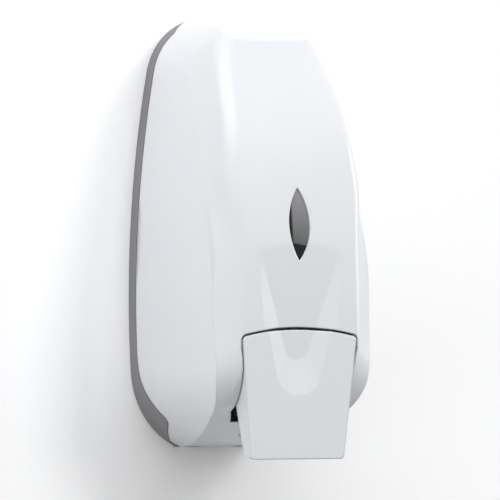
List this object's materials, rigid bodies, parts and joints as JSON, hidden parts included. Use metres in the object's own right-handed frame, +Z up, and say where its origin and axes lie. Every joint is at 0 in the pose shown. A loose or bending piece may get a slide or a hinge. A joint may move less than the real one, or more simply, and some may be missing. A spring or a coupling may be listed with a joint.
{
  "type": "wall mounted soap dispenser",
  "caption": "Wall mounted liquid soap dispenser with a hinged bowed cover, a push lever, an almond level window, a refillable bottle and a piston pump.",
  "frame": {"origin": "centre of the four wall screws, on the wall plane", "axes": "+Z up along the wall, -Y out of the wall towards the user, +X to the right seen from the front"},
  "size_m": [0.1244, 0.1072, 0.2864],
  "materials": {
    "white_plastic": "glossy white ABS",
    "grey_plastic": "satin dark grey ABS",
    "smoked_lens": "polished smoked acrylic",
    "clear_plastic": "translucent natural polyethylene",
    "lid_plastic": "satin white polypropylene",
    "pump_plastic": "satin natural polypropylene",
    "plunger_plastic": "satin acetal",
    "lock_plastic": "satin dark grey acetal",
    "silicone": "milky silicone",
    "rubber": "black nitrile",
    "steel": "bright zinc plated steel",
    "spring_steel": "stainless spring wire"
  },
  "bodies": {
    "base": {"back_plate": "grey_plastic", "hinge_pins": "steel", "pump_body": "pump_plastic", "pump_cap": "pump_plastic", "inlet_valve": "silicone", "spout_seal": "rubber", "outlet_valve": "silicone", "nozzle": "pump_plastic", "reservoir": "clear_plastic", "reservoir_lid": "lid_plastic", "lid_seal": "rubber", "pump_bracket": "grey_plastic", "bracket_screws": "steel", "pump_spring": "spring_steel"},
    "cover": {"front_cover": "white_plastic", "level_window": "smoked_lens", "lever_pins": "steel"},
    "lever": {"push_lever": "white_plastic", "lever_bumper": "rubber"},
    "plunger": {"pump_plunger": "plunger_plastic", "plunger_seal": "rubber"},
    "lock": {"lock_slide": "lock_plastic"}
  },
  "joints": [
    {"name": "cover_hinge", "type": "hinge", "parent": "base", "child": "cover", "pos_m": [0, -0.0034, -0.1466], "axis": [1, 0, 0], "range_deg": [0, 80]},
    {"name": "lever_pivot", "type": "hinge", "parent": "cover", "child": "lever", "pos_m": [0, -0.093, -0.084], "axis": [1, 0, 0], "range_deg": [0, 7], "stiffness_Nm_per_rad": 3.3},
    {"name": "plunger_slide", "type": "slide", "parent": "base", "child": "plunger", "axis": [0, 1, 0], "range_m": [0, 0.0046], "deforming": ["pump_spring"]},
    {"name": "lock_slide", "type": "slide", "parent": "base", "child": "lock", "axis": [0, 0, 1], "range_m": [0, 0.0045]}
  ],
  "couplings": [
    {"joint": "plunger_slide", "follows": "lever_pivot", "m_per_rad": 0.037}
  ]
}
